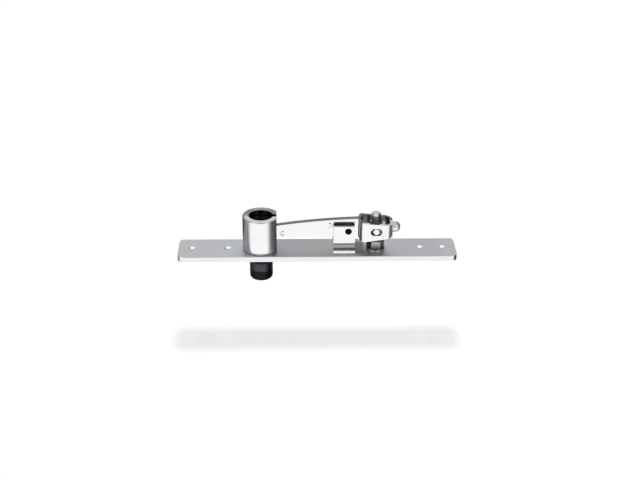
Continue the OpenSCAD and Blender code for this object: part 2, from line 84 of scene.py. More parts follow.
class Value:
    """A number's socket. Python operators on it add Math nodes to its material."""

    def __init__(self, graph, socket):
        self.graph = graph
        self.socket = socket

    def _math(self, operation, *operands):
        return self.graph.value("ShaderNodeMath", {"operation": operation}, dict(enumerate(operands)))

    def __add__(self, other): return self._math("ADD", self, other)
    def __radd__(self, other): return self._math("ADD", other, self)
    def __sub__(self, other): return self._math("SUBTRACT", self, other)
    def __rsub__(self, other): return self._math("SUBTRACT", other, self)
    def __mul__(self, other): return self._math("MULTIPLY", self, other)
    def __rmul__(self, other): return self._math("MULTIPLY", other, self)
    def __truediv__(self, other): return self._math("DIVIDE", self, other)
    def __pow__(self, other): return self._math("POWER", self, other)
    def __neg__(self): return self._math("MULTIPLY", self, -1.0)
    def __abs__(self): return self._math("ABSOLUTE", self)

    def least(self, other): return self._math("MINIMUM", self, other)
    def most(self, other): return self._math("MAXIMUM", self, other)
    def angle_from(self, other): return self._math("ARCTAN2", self, other)

    def ramp(self, low, high):
        """0 below low, 1 above high and a smooth rise between them."""
        return self.graph.value(
            "ShaderNodeMapRange", {"interpolation_type": "SMOOTHSTEP", "clamp": True},
            {"Value": self, "From Min": low, "From Max": high, "To Min": 0.0, "To Max": 1.0})

    def below(self, full, gone):
        """1 below full and 0 above gone."""
        return 1.0 - self.ramp(full, gone)

    def between(self, start, full, fall, gone):
        """1 from full to fall, and 0 before start and after gone."""
        return self.ramp(start, full) * self.below(fall, gone)


class Graph:
    """The node tree of one material, world or lamp, with one method that adds any node."""

    def __init__(self, owner):
        owner.use_nodes = True
        self.tree = owner.node_tree
        self.tree.nodes.clear()

    def node(self, kind, settings=None, inputs=None):
        """Adds a node, first sets its settings, then gives its sockets their values or links."""
        made = self.tree.nodes.new(kind)
        for key, setting in (settings or {}).items():
            setattr(made, key, setting)
        for key, given in (inputs or {}).items():
            socket = made.inputs[key]
            if isinstance(given, Value):
                given = given.socket
            if isinstance(given, bpy.types.NodeSocket):
                self.tree.links.new(given, socket)
            else:
                socket.default_value = given
        return made

    def value(self, kind, settings=None, inputs=None):
        """Adds a node and wraps its first output."""
        return Value(self, self.node(kind, settings, inputs).outputs[0])

    def axes(self, source="Object"):
        """The three parts of a coordinate or of the normal, each as a Value, and the whole vector."""
        vector = self.node("ShaderNodeTexCoord").outputs[source]
        split = self.node("ShaderNodeSeparateXYZ", inputs={0: vector})
        return [Value(self, split.outputs[i]) for i in range(3)] + [vector]

    def noise(self, vector, stretch, detail=3.0, roughness=0.55, centre=(0, 0, 0)):
        """Noise with the given number of waves per metre along each axis, from 0 to 1."""
        placed = self.node(
            "ShaderNodeMapping", {"vector_type": "POINT"},
            {"Vector": vector, "Location": centre, "Scale": stretch}).outputs[0]
        return self.value(
            "ShaderNodeTexNoise", {"noise_dimensions": "3D"},
            {"Vector": placed, "Scale": 1.0, "Detail": detail, "Roughness": roughness})

    def mix(self, factor, first, second, blend="MIX"):
        """Two colours mixed by a factor."""
        made = self.node(
            "ShaderNodeMix", {"data_type": "RGBA", "blend_type": blend, "clamp_factor": True},
            {0: factor, 6: first, 7: second})
        return made.outputs[2]

    def grey(self, shade):
        """The grey of a number."""
        return self.node("ShaderNodeCombineColor", inputs={0: shade, 1: shade, 2: shade}).outputs[0]

    def grey_scale(self, place, stops):
        """The grey that a table of places from 0 to 1, each with its shade, has at a place."""
        made = self.node("ShaderNodeValToRGB", inputs={0: place})
        elements = made.color_ramp.elements
        while len(elements) < len(stops):
            elements.new(1.0)
        for element, (position, shade) in zip(elements, stops):
            element.position = position
            element.color = (shade, shade, shade, 1.0)
        return made.outputs[0]

    def finish(self, shader, kind="ShaderNodeOutputMaterial"):
        """Adds the output node."""
        self.node(kind, inputs={"Surface": shader.outputs[0]})


def rgba(colour, level=1.0):
    """A colour times a level, with the fourth number that sockets want."""
    return (colour[0] * level, colour[1] * level, colour[2] * level, 1.0)


# ---------------------------------------------------------------- finishes

# Height of the grain beside the pits, and the height in metres that 1 stands for in a bump
GRAIN_DEPTH = 0.35
BUMP_DISTANCE = 0.02 * MM
# Share of each colour that is left where the clouds of plating are warmer
WARMER = (1.0, 0.99, 0.97)
# The pivot pin's painted highlight: the heights between which its base colour is paler and its
# roughness lower
HIGHLIGHT_BOTTOM, HIGHLIGHT_TOP = -12.9 * MM, -5.8 * MM


def plated_metal(name, colour, roughness, grain, mottle, darkened_by=None, kept_light=0.35, haze=0.12,
                 edges=None, crown=None):
    """Plated steel: fine grain drawn along one axis, cloudy plating, pin-head pits and scuffs.

    grain gives the grain's waves per metre along each axis, and mottle how strong the clouds are.
    darkened_by takes the graph and the three coordinates, and gives the share of darkening painted
    into
    the colour, on most pieces painted shade: kept_light is the light it leaves, haze the roughness it
    adds. edges changes the shade and roughness of cut edges. crown gives a height in metres, for faces
    that the tool left slightly out of flat.
    """
    material = bpy.data.materials.new(name)
    g = Graph(material)
    x, y, z, place = g.axes()
    grain_lines = g.noise(place, grain, detail=4.0, roughness=0.7)
    clouds = g.noise(place, (90, 90, 90), centre=(3.1, 1.7, 0.4))
    scuffs = g.noise(place, (260, 700, 500), detail=5.0, roughness=0.8, centre=(7.7, 2.9, 5.3))
    pits = g.value(
        "ShaderNodeTexVoronoi", {"feature": "F1", "voronoi_dimensions": "3D"},
        {"Vector": place, "Scale": 1500.0, "Randomness": 1.0})
    pit_mask = pits.below(0.06, 0.16) * clouds.ramp(0.5, 0.62)
    scuff_mask = scuffs.ramp(0.62, 0.78)
    dull = (clouds - 0.5) * mottle * 2.0 + (grain_lines - 0.5) * mottle
    shade = (1.0 + dull - 0.10 * pit_mask).least(1.15)
    warm = [c * w for c, w in zip(colour, WARMER)]
    base = g.mix(clouds.ramp(0.35, 0.7), rgba(colour), rgba(warm))
    rough = roughness * (0.86 + 0.28 * grain_lines) + 0.06 * scuff_mask + 0.10 * pit_mask
    if darkened_by:
        # Darkening painted into the colour, made uneven by the clouds: painted shade where the mask
        # picks out recesses, creases, sides and feet; on the nut, washer and nut pin it darkens the
        # whole piece.
        darkening = darkened_by(g, x, y, z) * (0.75 + 0.5 * clouds)
        shade = shade * (1.0 - darkening.least(1.0) * (1.0 - kept_light))
        rough = rough + haze * darkening
    if edges:
        shade, rough = edges(g, x, y, shade, rough)
    painted = g.mix(1.0, base, g.grey(shade), "MULTIPLY")
    height = grain_lines * GRAIN_DEPTH - pit_mask * 0.8 + scuff_mask * 0.15
    bump = g.node("ShaderNodeBump", inputs={
        "Strength": 0.12, "Distance": BUMP_DISTANCE, "Height": height})
    if crown:
        bump = g.node("ShaderNodeBump", inputs={
            "Strength": 1.0, "Distance": 1.0, "Height": crown(g, x, y, z), "Normal": bump.outputs[0]})
    shader = g.node("ShaderNodeBsdfPrincipled", inputs={
        "Base Color": painted, "Metallic": 1.0, "Roughness": rough, "Normal": bump.outputs[0]})
    g.finish(shader)
    return material


def blackened_metal(name, colour, roughness):
    """Oiled black oxide: turned rings, random paler patches, and a painted highlight, a band of paler
    base colour and lower roughness.
    """
    material = bpy.data.materials.new(name)
    g = Graph(material)
    _, _, z, place = g.axes()
    rings = g.noise(place, (25, 25, 2400), roughness=0.6)
    patches = g.noise(place, (180, 180, 90), detail=4.0, roughness=0.7, centre=(2.0, 5.0, 1.0))
    band = z.between(HIGHLIGHT_BOTTOM - 0.8 * MM, HIGHLIGHT_BOTTOM + 0.8 * MM,
                     HIGHLIGHT_TOP - 0.6 * MM, HIGHLIGHT_TOP + 0.6 * MM)
    highlight_and_wear = (band * 0.8 + patches.ramp(0.6, 0.8) * 0.3).least(1.0)
    base = g.mix(highlight_and_wear, rgba(colour), rgba(colour, 4.6))
    rough = roughness - 0.12 * band + 0.10 * (rings - 0.5) + 0.10 * (patches - 0.5)
    bump = g.node("ShaderNodeBump", inputs={
        "Strength": 0.15, "Distance": BUMP_DISTANCE, "Height": rings})
    shader = g.node("ShaderNodeBsdfPrincipled", inputs={
        "Base Color": base, "Metallic": 1.0, "Roughness": rough, "Normal": bump.outputs[0]})
    g.finish(shader)
    return material


# ---------------------------------------------------------------- edges and painted shade

# Reach of the plate's screw holes from its middle line
HOLE_RADIUS = 3.2 * MM
# Outwards fall of the tube's rim beside its width
RIM_FALL = 0.14


def from_axis(x, y):
    """Distance from an upright axis."""
    return (x ** 2.0 + y ** 2.0) ** 0.5


def plate_edges(g, x, y, shade, rough):
    """Polished edges all round the plate, a little darker as painted shade, and smooth walls in its
    four screw holes brightened as a painted highlight.

    A hole's wall is rougher where it faces right, so that it spreads the white light of the front.
    """
    across, _, up, _ = g.axes("Normal")
    upright = abs(up).below(0.3, 0.7)
    inside = x.between(PLATE_LOW.x + 1 * MM, PLATE_LOW.x + 2 * MM,
                       PLATE_HIGH.x - 2 * MM, PLATE_HIGH.x - 1 * MM)
    drilled = upright * inside * abs(y).below(HOLE_RADIUS, HOLE_RADIUS + 0.4 * MM)
    # Painted shade and highlight: upright faces a little darker, and the holes' walls brighter than
    # the plate's colour.
    shade = shade * (1.0 - 0.07 * upright + 0.3 * drilled)
    rough = rough * (1.0 - 0.5 * upright) * (1.0 - 0.9 * drilled)
    return shade, rough + 0.6 * drilled * across.ramp(0.4, 0.8)


def plate_painted_shade(g, x, y, z):
    """Painted shade along the middle of the plate's top, darkest between the bracket and the screw's
    foot.
    """
    shade_pool = y.between(-14.5 * MM, -9 * MM, 9 * MM, 14 * MM) * x.between(
        SCREW_X - 20 * MM, SCREW_X - 17 * MM, SCREW_X - 11 * MM, SCREW_X - 6 * MM)
    middle_shade = x.ramp(-16 * MM, 16 * MM) * (
        0.36 - 0.30 * x.ramp(SCREW_X - 12 * MM, SCREW_X + 2 * MM)
        + 0.06 * x.ramp(SCREW_X + 14 * MM, SCREW_X + 24 * MM)
        - 0.12 * x.ramp(SCREW_X + 44 * MM, SCREW_X + 60 * MM))
    on_top = z.ramp(PLATE_HIGH.z - 0.56 * MM, PLATE_HIGH.z - 0.06 * MM)
    return shade_pool.most(middle_shade) * on_top


def beam_painted_shade(g, x, y, z):
    """Painted shade in the yoke, its slots and its bends and behind the ears, and on the upward faces
    of the sheared upper edge; all of it a little rougher.
    """
    outer = BEAM_HIGH.y
    inner = outer - SHEET
    cavity = abs(y).below(inner - 0.15 * MM, inner + 0.15 * MM) * x.between(
        SCREW_X - 12 * MM, SCREW_X - 10.5 * MM, BEAM_HIGH.x - 4.2 * MM, BEAM_HIGH.x - 3 * MM)
    slot_z = (TRUNNION_LOW.z + TRUNNION_HIGH.z) / 2
    slots = from_axis((x - SCREW_X) * 0.72, z - slot_z).below(3.6 * MM, 3.8 * MM) * abs(y).below(
        outer - 0.35 * MM, outer - 0.1 * MM)
    bends = abs(y).below(outer - 0.7 * MM, outer - 0.1 * MM) * x.between(
        SCREW_X - 14.9 * MM, SCREW_X - 14.2 * MM, SCREW_X - 11.3 * MM, SCREW_X - 10.8 * MM)
    behind_ears = z.below(BRACKET_HIGH.z + 1.6 * MM, BRACKET_HIGH.z + 2.2 * MM) * x.between(
        BRACKET_LOW.x - 0.2 * MM, BRACKET_LOW.x + 0.2 * MM,
        BRACKET_HIGH.x - 0.2 * MM, BRACKET_HIGH.x + 0.2 * MM)
    blade = x.below(SCREW_X - 12.5 * MM, SCREW_X - 11 * MM)
    rear = y.ramp(0.0, 2 * MM)
    sheared = g.axes("Normal")[2].ramp(0.5, 0.85) * blade.most(rear)
    return cavity.most(slots).most(bends).most(behind_ears).most(sheared)


def tube_painted_shade(g, x, y, z):
    """Painted shade in the bore, over the back of the rim, round the slot, on the far left and at the
    foot.
    """
    top = TUBE_HIGH.z
    foot = z.below(PLATE_HIGH.z + 1.2 * MM, PLATE_HIGH.z + 2.6 * MM) * (
        1.0 - 0.45 * abs(x).ramp(5 * MM, 9 * MM))
    rim = z.ramp(top - 0.5 * MM, top - 0.3 * MM) * y.ramp(-4 * MM, 1 * MM) * (
        0.3 + 0.45 * abs(x).ramp(4 * MM, 10 * MM))
    flat = 0.8 * x.ramp(TUBE_HIGH.x - 3.4 * MM, TUBE_HIGH.x - 0.4 * MM) * z.below(
        top - 0.9 * MM, top - 0.6 * MM)
    left = 0.85 * (-x).ramp(-TUBE_LOW.x - 2.5 * MM, -TUBE_LOW.x - 0.7 * MM)
    bore = from_axis(x, y).below(9.9 * MM, 10.3 * MM)
    return foot.most(flat).most(left).most(bore).most(rim)


def rim_slope(g, x, y, z):
    """Rim turned slightly conical: the height falls in proportion to the distance from the axis."""
    on_rim = z.ramp(TUBE_HIGH.z - 0.5 * MM, TUBE_HIGH.z - 0.4 * MM)
    return from_axis(x, y) * -RIM_FALL * on_rim


def thread_valleys(g, x, y, z):
    """Painted shade in the valleys of the adjusting screw's thread, but not over its upper end."""
    return from_axis(x - SCREW_X, y).below(3.65 * MM, 4.15 * MM) * z.below(
        SCREW_HIGH.z - 2.8 * MM, SCREW_HIGH.z - 1.8 * MM)


def trunnion_painted_shade(g, x, y, z):
    """Painted shade all over the trunnion, but for the faces of its two ends."""
    return abs(y).below(TRUNNION_HIGH.y - 0.7 * MM, TRUNNION_HIGH.y - 0.4 * MM)


def forging_painted_shade(g, x, y, z):
    """Painted shade on the upward cut faces of the ears' upper ends and on the fillets at their feet,
    which are also rougher.
    """
    upward = g.axes("Normal")[2]
    tops = upward.ramp(0.6, 0.9) * z.ramp(BRACKET_HIGH.z - 2 * MM, BRACKET_HIGH.z - MM)
    feet = 0.75 * upward.ramp(0.2, 0.6) * z.below(BRACKET_LOW.z + 7 * MM, BRACKET_LOW.z + 9 * MM)
    return tops.most(feet)


def everywhere(g, x, y, z):
    """The whole piece, darkened and roughened evenly."""
    return 1.0


# ---------------------------------------------------------------- shapes

def surface_piece(name, points, faces, material):
    """Puts whole arrays of points and faces into a mesh, smooth up to 35 degrees."""
    mesh = bpy.data.meshes.new(name)
    mesh.vertices.add(len(points))
    mesh.vertices.foreach_set("co", points.astype(np.float32).ravel())
    sizes = np.array([len(f) for f in faces], np.int32)
    mesh.loops.add(int(sizes.sum()))
    mesh.loops.foreach_set("vertex_index", np.concatenate(faces).astype(np.int32))
    mesh.polygons.add(len(faces))
    starts = np.concatenate(([0], np.cumsum(sizes)[:-1]))
    mesh.polygons.foreach_set("loop_start", starts.astype(np.int32))
    mesh.update(calc_edges=True)
    mesh.validate()
    mesh.shade_smooth()
    mesh.set_sharp_from_angle(angle=math.radians(35.0))
    piece = bpy.data.objects.new(name, mesh)
    bpy.context.scene.collection.objects.link(piece)
    mesh.materials.append(material)
    return piece


def turned_grid(along, radius):
    """Turned surface closed at both ends.

    Ring k lies at along[k] on the axis. Its point at angle a is (r cos a, r sin a, along), where
    r = radius[k, a]. Quads join each ring to the next, and a fan from the axis closes each end.
    """
    rings, sides = radius.shape
    angles = np.arange(sides) * 2 * np.pi / sides
    points = np.stack([
        radius * np.cos(angles), radius * np.sin(angles),
        np.broadcast_to(along[:, None], radius.shape)], axis=-1).reshape(-1, 3)
    ring, side = np.meshgrid(np.arange(rings - 1), np.arange(sides), indexing="ij")
    here, nxt = ring * sides + side, ring * sides + (side + 1) % sides
    quads = np.stack([here, nxt, nxt + sides, here + sides], axis=-1).reshape(-1, 4)
    first, last = rings * sides, rings * sides + 1
    around = np.arange(sides)
    after = (around + 1) % sides
    low_fan = np.stack([np.full(sides, first), after, around], axis=-1)
    top = (rings - 1) * sides
    high_fan = np.stack([np.full(sides, last), top + around, top + after], axis=-1)
    poles = np.array([[0, 0, along[0]], [0, 0, along[-1]]])
    return np.concatenate([points, poles]), list(quads) + list(low_fan) + list(high_fan)


def hexagon_radius(sides, across_flats):
    """Distance from the axis to a hexagon's side, at evenly spaced angles."""
    angles = np.arange(sides) * 2 * np.pi / sides
    return across_flats / 2 / np.cos((angles % (np.pi / 3)) - np.pi / 6)


def thread_radius(along, sides, major, pitch, depth):
    """Radius of a right-hand thread: a triangle wave of along / pitch - turn.

    The wave is stretched and then cut at 0 and 1, which leaves flats in the root and on the crest.
    """
    turn = np.arange(sides) / sides
    phase = (along[:, None] / pitch - turn[None, :]) % 1.0
    wave = np.clip(1.35 * np.abs(2 * phase - 1) - 0.12, 0.0, 1.0)
    return major - depth * (1 - wave)


def laid_out(points, origin, matrix=None):
    """Points turned by a matrix about the origin and moved to their place."""
    turned = points if matrix is None else points @ np.array(matrix).T
    return turned + np.array(origin)


def corner_radius(across_flats):
    """Distance from the axis to a hexagon's corners."""
    return across_flats / 2 / math.cos(math.pi / 6)


# Turns the Z axis of a turned surface to lie along the plate
ALONG_PLATE = [[0, 0, 1], [0, 1, 0], [-1, 0, 0]]
# Rings of the surface in each turn of a thread
TURN_RINGS = 14


def adjusting_screw_mesh(pitch, depth, sides=72):
    """Flange, thread and bevelled end of the adjusting screw, with a hexagon socket below.

    The thread fades in over its first turn, and a 45 degree cone cuts it at the bevelled end.
    """
    socket_depth, socket_af, lead_in = 4.0 * MM, 5.0 * MM, 0.25 * MM
    neck, bevel, rounding = 0.6 * MM, 0.8 * MM, 0.2 * MM
    flange_r, flange_t = (SCREW_HIGH.x - SCREW_LOW.x) / 2, 2.0 * MM
    major = 7.94 / 2 * MM
    low, end = SCREW_LOW.z, SCREW_HIGH.z
    flange_top = low + flange_t
    start = flange_top + neck
    round_ = np.ones(sides)
    socket = hexagon_radius(sides, socket_af)
    thread_z = np.linspace(start, end, int(round((end - start) / pitch * TURN_RINGS)))
    thread = thread_radius(thread_z, sides, major, pitch, depth)
    fade = np.clip((thread_z - start) / pitch, 0, 1)[:, None]
    thread = major - depth + (thread - (major - depth)) * fade
    cone = (major - bevel) + (end - thread_z)
    thread = np.minimum(thread, cone[:, None])
    along = [low + socket_depth, low + socket_depth, low + lead_in, low, low, low + rounding,
             flange_top - rounding, flange_top, flange_top]
    radius = [socket * 0.2, socket, socket, round_ * (corner_radius(socket_af) + 0.1 * MM),
              round_ * (flange_r - rounding), round_ * flange_r, round_ * flange_r,
              round_ * (flange_r - rounding), round_ * (major - depth)]
    along = np.concatenate([along, thread_z])
    radius = np.concatenate([np.array(radius), thread])
    points, faces = turned_grid(along, radius)
    return laid_out(points, (SCREW_X, 0, 0)), faces


def lock_screw_mesh(pitch, depth, sides=60):
    """Threaded shank and round head of the lock screw, with a hexagon socket in its crown.

    The head is a short cylinder under part of a ball: at angle a it lies r sin a beyond the ball's
    middle and r cos a from the axis, until the crown's flat begins.
    """
    major, point, head_r = 2.5 * MM, 0.6 * MM, (LOCK_HIGH.y - LOCK_LOW.y) / 2
    socket_af, socket_depth, lead_in = 3.0 * MM, 2.6 * MM, 0.12 * MM
    skirt, rounding = 2.2 * MM, 0.25 * MM
    low, shank_end = LOCK_LOW.x, BEAM_HIGH.x
    shank = np.linspace(low, shank_end, int((shank_end - low) / pitch * TURN_RINGS))
    thread = thread_radius(shank, sides, major, pitch, depth)
    thread = np.minimum(thread, (major - point + (shank - low))[:, None])
    round_ = np.ones(sides)
    socket = hexagon_radius(sides, socket_af)
    ball_centre = shank_end + skirt
    flat_r, ball_rings = corner_radius(socket_af) + 0.15 * MM, 22
    sweep = np.linspace(0, math.acos(flat_r / head_r), ball_rings)
    ball = ball_centre + head_r * np.sin(sweep)
    along = np.concatenate([
        shank, [shank_end, shank_end + rounding, ball_centre - 0.02 * MM], ball,
        [ball[-1] - lead_in, ball[-1] - socket_depth, ball[-1] - socket_depth]])
    radius = np.concatenate([
        thread, [round_ * (head_r - rounding), round_ * head_r, round_ * head_r],
        (head_r * np.cos(sweep))[:, None] * round_[None, :],
        [socket, socket, socket * 0.2]])
    points, faces = turned_grid(along, radius)
    return laid_out(points, (0, 0, LOCK_Z), ALONG_PLATE), faces


def softened_copy(node, width, material, name, segments=2):
    """A merged copy of a CAD node, with its edges eased as tumbling and plating leave them.

    Points closer than a micrometre become one, flat triangles become one face, every edge that
    turns by more than 32 degrees gets a bevel, and large faces stay flat in the shading.
    """
    source = frame["nodes"][node]
    mesh = bpy.data.meshes.new(name)
    count = len(source.data.vertices)
    co = np.empty(count * 3, np.float32)
    source.data.vertices.foreach_get("co", co)
    corners = np.empty(len(source.data.loops), np.int32)
    source.data.loops.foreach_get("vertex_index", corners)
    grid = np.round(co.reshape(-1, 3) / MICROMETRE).astype(np.int64)
    points, back = np.unique(grid, axis=0, return_inverse=True)
    triangles = back.ravel()[corners].reshape(-1, 3)
    whole = (triangles != np.roll(triangles, 1, axis=1)).all(axis=1)
    mesh.from_pydata(points * MICROMETRE, [], triangles[whole])
    mesh.update()
    mesh.shade_smooth()
    piece = bpy.data.objects.new(name, mesh)
    bpy.context.scene.collection.objects.link(piece)
    mesh.materials.append(material)
    flat = piece.modifiers.new("flats", "DECIMATE")
    flat.decimate_type = "DISSOLVE"
    flat.angle_limit = math.radians(0.6)
    ease = piece.modifiers.new("eased_edges", "BEVEL")
    ease.width = width
    ease.segments = segments
    ease.limit_method = "ANGLE"
    ease.angle_limit = math.radians(32.0)
    ease.use_clamp_overlap = True
    faces = piece.modifiers.new("flat_faces", "WEIGHTED_NORMAL")
    faces.weight = 100
    bpy.context.view_layer.update()
    eased = bpy.data.meshes.new_from_object(piece.evaluated_get(bpy.context.evaluated_depsgraph_get()))
    piece.modifiers.clear()
    piece.data = eased
    return piece


def dress(node, material):
    """Gives a CAD node its finish, in its own material slots."""
    cad = frame["nodes"][node]
    if not cad.material_slots:
        raise RuntimeError(f"{node} has no material slot")
    for held in cad.material_slots:
        held.link = "OBJECT"
        held.material = material


def body_of(node):
    """The CAD body that a node rides on."""
    for body, members in frame["record"]["behaviour"]["bodies"].items():
        if node in members:
            return body
    raise RuntimeError(f"{node} is in no body")


def stands_for(piece, node):
    """Makes a new piece ride on its CAD node's body, in place of that node."""
    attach(piece, body_of(node))
    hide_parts(node)
    return piece


# ---------------------------------------------------------------- settings

class PivotFinishSettings(bpy.types.PropertyGroup):
    """Colours, gloss and small sizes of the pivot's finishes."""

    bright: FloatVectorProperty(
        name="Bright plate", description="Colour of the bright zinc plate",
        subtype="COLOR", size=3, min=0.0, max=1.0, default=(0.87, 0.885, 0.905))
    satin: FloatVectorProperty(
        name="Satin plate", description="Colour of the mounting plate",
        subtype="COLOR", size=3, min=0.0, max=1.0, default=(0.87, 0.895, 0.925))
    black: FloatVectorProperty(
        name="Black oxide", description="Colour of the blackened pins",
        subtype="COLOR", size=3, min=0.0, max=1.0, default=(0.018, 0.018, 0.020))
    bright_roughness: FloatProperty(
        name="Bright roughness", description="Roughness of the bright plate",
        subtype="FACTOR", min=0.0, max=1.0, default=0.13)
    satin_roughness: FloatProperty(
        name="Satin roughness", description="Roughness of the mounting plate",
        subtype="FACTOR", min=0.0, max=1.0, default=0.45)
    steel_roughness: FloatProperty(
        name="Steel roughness", description="Roughness of the adjusting screw and the trunnion",
        subtype="FACTOR", min=0.0, max=1.0, default=0.2)
    lock_roughness: FloatProperty(
        name="Lock screw roughness", description="Roughness of the lock screw",
        subtype="FACTOR", min=0.0, max=1.0, default=0.5)
    black_roughness: FloatProperty(
        name="Black roughness", description="Roughness of the blackened pins",
        subtype="FACTOR", min=0.0, max=1.0, default=0.46)
    thread_pitch: FloatProperty(
        name="Thread pitch", description="Pitch of the adjusting screw's thread",
        unit="LENGTH", min=0.5 * MM, max=2 * MM, default=25.4 / 18 * MM)
    thread_depth: FloatProperty(
        name="Thread depth", description="Depth of the adjusting screw's thread",
        unit="LENGTH", min=0.1 * MM, max=1.2 * MM, default=0.8 * MM)
    eased_edge: FloatProperty(
        name="Eased edge", description="Width of the eased edges of the sheet and the bracket",
        unit="LENGTH", min=0.05 * MM, max=0.6 * MM, default=0.3 * MM)
    rounded_rim: FloatProperty(
        name="Rounded rim", description="Width of the eased edges of the turned tube",
        unit="LENGTH", min=0.1 * MM, max=1.0 * MM, default=0.7 * MM)


class PivotStageSettings(bpy.types.PropertyGroup):
    """Studio round the pivot."""

    drop: FloatProperty(
        name="Drop", description="Height of the plate's underside above the floor",
        unit="LENGTH", min=0.03, max=0.5, default=0.083)
    aim: FloatVectorProperty(
        name="Aim", description="Point that the camera looks at",
        subtype="XYZ", size=3, default=(0.0489, 0.0, 0.0112))
    lens: FloatProperty(
        name="Lens", description="Focal length of the camera, in millimetres",
        min=20.0, max=200.0, default=68.06)
    shift: FloatProperty(
        name="Shift", description="Shift of the lens to the left and up, as a share of its sensor",
        min=0.0, max=0.1, precision=5, default=0.00078125)
    distance: FloatProperty(
        name="Distance", description="Distance from the camera to the point that it looks at",
        unit="LENGTH", min=0.2, max=5.0, default=0.997)
    pitch: FloatProperty(
        name="Pitch", description="How steeply the camera looks down",
        unit="ROTATION", min=0.0, max=1.5, default=math.radians(27.25))
    yaw: FloatProperty(
        name="Yaw", description="How far the camera is turned to the right",
        unit="ROTATION", min=-3.2, max=3.2, default=math.radians(2.10))
    roll: FloatProperty(
        name="Roll", description="How far the camera is tilted",
        unit="ROTATION", min=-0.5, max=0.5, default=math.radians(0.66))
    lamp_power: FloatProperty(
        name="Lamp power", description="Power of the overhead soft lamp",
        unit="POWER", min=0.0, max=100.0, default=6.84)
    lamp_height: FloatProperty(
        name="Lamp height", description="Height of the soft lamp above the plate's underside",
        unit="LENGTH", min=0.3, max=5.0, default=1.5)
    lamp_width: FloatProperty(
        name="Lamp width", description="Size of the soft lamp along the plate",
        unit="LENGTH", min=0.01, max=2.0, default=0.24)
    lamp_depth: FloatProperty(
        name="Lamp depth", description="Size of the soft lamp from front to back",
        unit="LENGTH", min=0.01, max=2.0, default=0.33)


# ---------------------------------------------------------------- pieces

# Share of its black colour that the fulcrum pin keeps, which makes it darker than the other black pins
FULCRUM_SHADE = 0.35
LOCK_PITCH, LOCK_DEPTH = 0.8 * MM, 0.45 * MM


class PIVOT_OT_plate(bpy.types.Operator):
    """Finish the mounting plate in satin zinc, with its grain along the plate"""
    bl_idname = "pivot.plate"
    bl_label = "Mounting plate"

    def execute(self, context):
        s = context.scene.pivot_finish
        dress("mounting_plate", plated_metal(
            "satin_plate", s.satin, s.satin_roughness, grain=(60, 1500, 1500), mottle=0.05,
            darkened_by=plate_painted_shade, kept_light=0.35, haze=0.0, edges=plate_edges))
        return {"FINISHED"}


class PIVOT_OT_housing(bpy.types.Operator):
    """Finish the pin housing as a turned tube in bright plate"""
    bl_idname = "pivot.housing"
    bl_label = "Pin housing"

    def execute(self, context):
        s = context.scene.pivot_finish
        turned = plated_metal(
            "turned_tube", s.bright, s.bright_roughness, grain=(60, 60, 1800), mottle=0.03,
            darkened_by=tube_painted_shade, kept_light=0.25, haze=0.0, crown=rim_slope)
        tube = softened_copy("pin_housing", s.rounded_rim, turned, "housing_turned", segments=3)
        stands_for(tube, "pin_housing")
        return {"FINISHED"}


class PIVOT_OT_pins(bpy.types.Operator):
    """Blacken the pivot pin, its lift pin and the fulcrum pin"""
    bl_idname = "pivot.pins"
    bl_label = "Blackened pins"

    def execute(self, context):
        s = context.scene.pivot_finish
        for node, shade in (("pivot_pin", 1.0), ("lift_pin", 1.0), ("fulcrum_pin", FULCRUM_SHADE)):
            dress(node, blackened_metal(
                "black_" + node, [c * shade for c in s.black], s.black_roughness))
        return {"FINISHED"}


class PIVOT_OT_beam(bpy.types.Operator):
    """Ease the edges of the folded walking beam and plate it, with the beam's and bracket's rivets"""
    bl_idname = "pivot.beam"
    bl_label = "Walking beam"

    def execute(self, context):
        s = context.scene.pivot_finish
        sheet = plated_metal(
            "beam_sheet", s.bright, s.bright_roughness, grain=(60, 1300, 1300), mottle=0.04,
            darkened_by=beam_painted_shade, kept_light=0.28)
        beam = softened_copy("walking_beam", s.eased_edge, sheet, "beam_folded_sheet")
        stands_for(beam, "walking_beam")
        rivet = plated_metal(
            "rivet_plate", s.bright, s.bright_roughness, grain=(700, 700, 700), mottle=0.05)
        for held in ("beam", "bracket"):
            for side in ("left", "right"):
                dress(f"{held}_rivet_{side}", rivet)
        return {"FINISHED"}


class PIVOT_OT_bracket(bpy.types.Operator):
    """Ease the edges of the fulcrum bracket and plate it, with its spacers"""
    bl_idname = "pivot.bracket"
    bl_label = "Fulcrum bracket"

    def execute(self, context):
        s = context.scene.pivot_finish
        forged = plated_metal(
            "forged_bracket", s.bright, s.bright_roughness, grain=(1300, 700, 60), mottle=0.05,
            darkened_by=forging_painted_shade, kept_light=0.6, haze=0.3)
        bracket = softened_copy("fulcrum_bracket", s.eased_edge, forged, "bracket_forging")
        stands_for(bracket, "fulcrum_bracket")
        ring = plated_metal(
            "turned_spacer", s.bright, s.bright_roughness, grain=(700, 60, 700), mottle=0.04)
        for node in ("spacer_front", "spacer_rear"):
            dress(node, ring)
        return {"FINISHED"}


